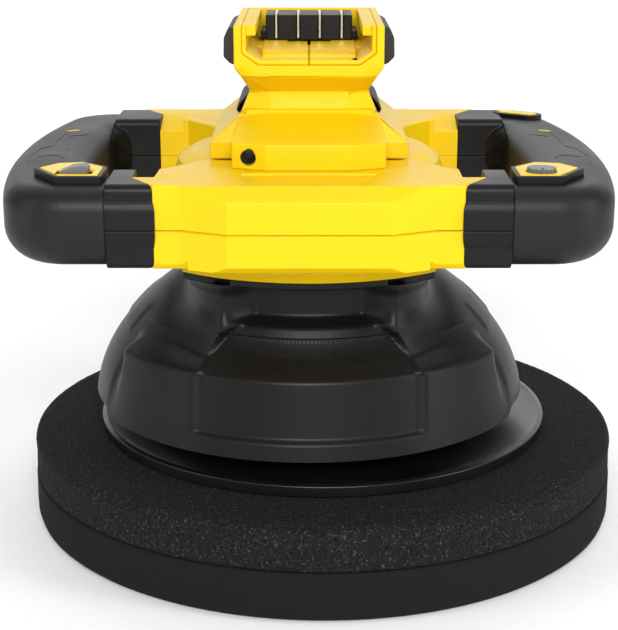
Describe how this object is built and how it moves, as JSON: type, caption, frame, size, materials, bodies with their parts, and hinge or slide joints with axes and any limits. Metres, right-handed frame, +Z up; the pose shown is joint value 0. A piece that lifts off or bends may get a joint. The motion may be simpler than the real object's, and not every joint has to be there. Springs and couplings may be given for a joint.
{
  "type": "random-orbit polisher",
  "caption": "Cordless two-handled polisher: a round foam pad orbits under a dome housing, with loop handles at both sides and a battery rail tower on top.",
  "frame": {"origin": "on the tool's drive axis, in the plane of the foam pad's lower face", "axes": "+Z up along the drive axis, +X towards the handle with the speed dial, -Y towards the side the battery slides in from"},
  "size_m": [0.257, 0.254, 0.214],
  "materials": {
    "yellow_housing": "satin moulded ABS",
    "black_housing": "fine-textured moulded ABS",
    "grip_rubber": "soft-touch moulded elastomer",
    "bumper_rubber": "matt moulded rubber",
    "yellow_trim": "gloss moulded ABS",
    "grey_control": "satin moulded nylon",
    "black_nylon": "moulded nylon",
    "contact_metal": "tin-plated",
    "steel": "machined",
    "zinc_steel": "zinc-plated",
    "black_screw": "black oxide",
    "cast_aluminium": "die-cast",
    "sintered_steel": "sintered, machined teeth",
    "counterweight_iron": "cast, machined bores",
    "plate_plastic": "satin glass-filled nylon",
    "hook_fabric": "woven hook tape",
    "coarse_foam": "coarse open-cell foam",
    "dense_foam": "fine closed-cell foam",
    "copper": "copper",
    "ferrite": "ferrite, as sintered",
    "carbon": "graphite",
    "brass": "pressed",
    "circuit_board": "solder resist"
  },
  "bodies": {
    "housing": {"battery_rail_left": "yellow_housing", "battery_rail_right": "yellow_housing", "body_lower_shell": "yellow_housing", "body_upper_shell": "yellow_housing", "brush_boxes": "brass", "carbon_brushes": "carbon", "dial_potentiometer": "black_nylon", "dome_housing": "black_housing", "gear_case": "cast_aluminium", "gear_case_screws": "zinc_steel", "handle_accent_strip": "yellow_trim", "housing_screws": "black_screw", "left_bezel": "yellow_trim", "left_grip": "grip_rubber", "left_handle_lower": "black_housing", "left_handle_upper": "black_housing", "motor_bearings": "steel", "motor_can": "zinc_steel", "motor_end_bell": "black_nylon", "motor_magnets": "ferrite", "motor_mount_plate": "steel", "motor_screws": "zinc_steel", "output_bearings": "steel", "power_switch_body": "black_nylon", "right_bezel": "yellow_trim", "right_grip": "grip_rubber", "right_handle_lower": "black_housing", "right_handle_upper": "black_housing", "ring_gear": "sintered_steel", "side_bumper_left": "bumper_rubber", "side_bumper_right": "bumper_rubber", "speed_board": "circuit_board", "terminal_blades": "contact_metal", "terminal_block": "black_nylon", "tower_housing": "yellow_housing", "tower_screws": "black_screw", "transistor_heat_sink": "cast_aluminium"},
    "eccentric_drive": {"counterweight": "counterweight_iron", "hub_grub_screw": "black_screw", "output_carrier": "steel", "planet_pins": "steel", "spindle_bearings": "steel"},
    "pad_assembly": {"pad_face_foam": "dense_foam", "pad_core_foam": "coarse_foam", "hook_disc": "hook_fabric", "backing_plate": "plate_plastic", "pad_screw_washer": "zinc_steel", "pad_screw": "zinc_steel", "pad_spindle": "steel", "spindle_clip": "steel"},
    "motor_rotor": {"armature_core": "steel", "armature_windings": "copper", "commutator": "copper", "motor_shaft": "steel", "sun_gear": "sintered_steel"},
    "planet_1": {"planet_gear_1": "sintered_steel"},
    "planet_2": {"planet_gear_2": "sintered_steel"},
    "planet_3": {"planet_gear_3": "sintered_steel"},
    "power_rocker_body": {"power_rocker": "grey_control"},
    "speed_dial_body": {"speed_dial": "grey_control"}
  },
  "joints": [
    {"name": "orbit_drive", "type": "hinge", "parent": "housing", "child": "eccentric_drive", "pos_m": [0, 0, 0.09], "axis": [0, 0, 1], "continuous": true},
    {"name": "pad_spin", "type": "hinge", "parent": "eccentric_drive", "child": "pad_assembly", "pos_m": [0.006, 0, 0.06], "axis": [0, 0, 1], "continuous": true},
    {"name": "motor_spin", "type": "hinge", "parent": "housing", "child": "motor_rotor", "pos_m": [0, 0, 0.14], "axis": [0, 0, 1], "continuous": true},
    {"name": "planet_1_spin", "type": "hinge", "parent": "eccentric_drive", "child": "planet_1", "pos_m": [0, 0.0135, 0.11], "axis": [0, 0, 1], "continuous": true},
    {"name": "planet_2_spin", "type": "hinge", "parent": "eccentric_drive", "child": "planet_2", "pos_m": [-0.01169, -0.00675, 0.11], "axis": [0, 0, 1], "continuous": true},
    {"name": "planet_3_spin", "type": "hinge", "parent": "eccentric_drive", "child": "planet_3", "pos_m": [0.01169, -0.00675, 0.11], "axis": [0, 0, 1], "continuous": true},
    {"name": "rocker_tilt", "type": "hinge", "parent": "housing", "child": "power_rocker_body", "pos_m": [-0.0885, -0.0755, 0.1586], "axis": [0, 1, 0], "range_deg": [0, 14]},
    {"name": "dial_turn", "type": "hinge", "parent": "housing", "child": "speed_dial_body", "pos_m": [0.088, -0.0745, 0.16], "axis": [0, 0, 1], "range_deg": [0, 270]}
  ],
  "couplings": [
    {"joint": "motor_spin", "follows": "orbit_drive", "ratio": 4.5},
    {"joint": "planet_1_spin", "follows": "orbit_drive", "ratio": -2.8},
    {"joint": "planet_2_spin", "follows": "orbit_drive", "ratio": -2.8},
    {"joint": "planet_3_spin", "follows": "orbit_drive", "ratio": -2.8}
  ]
}
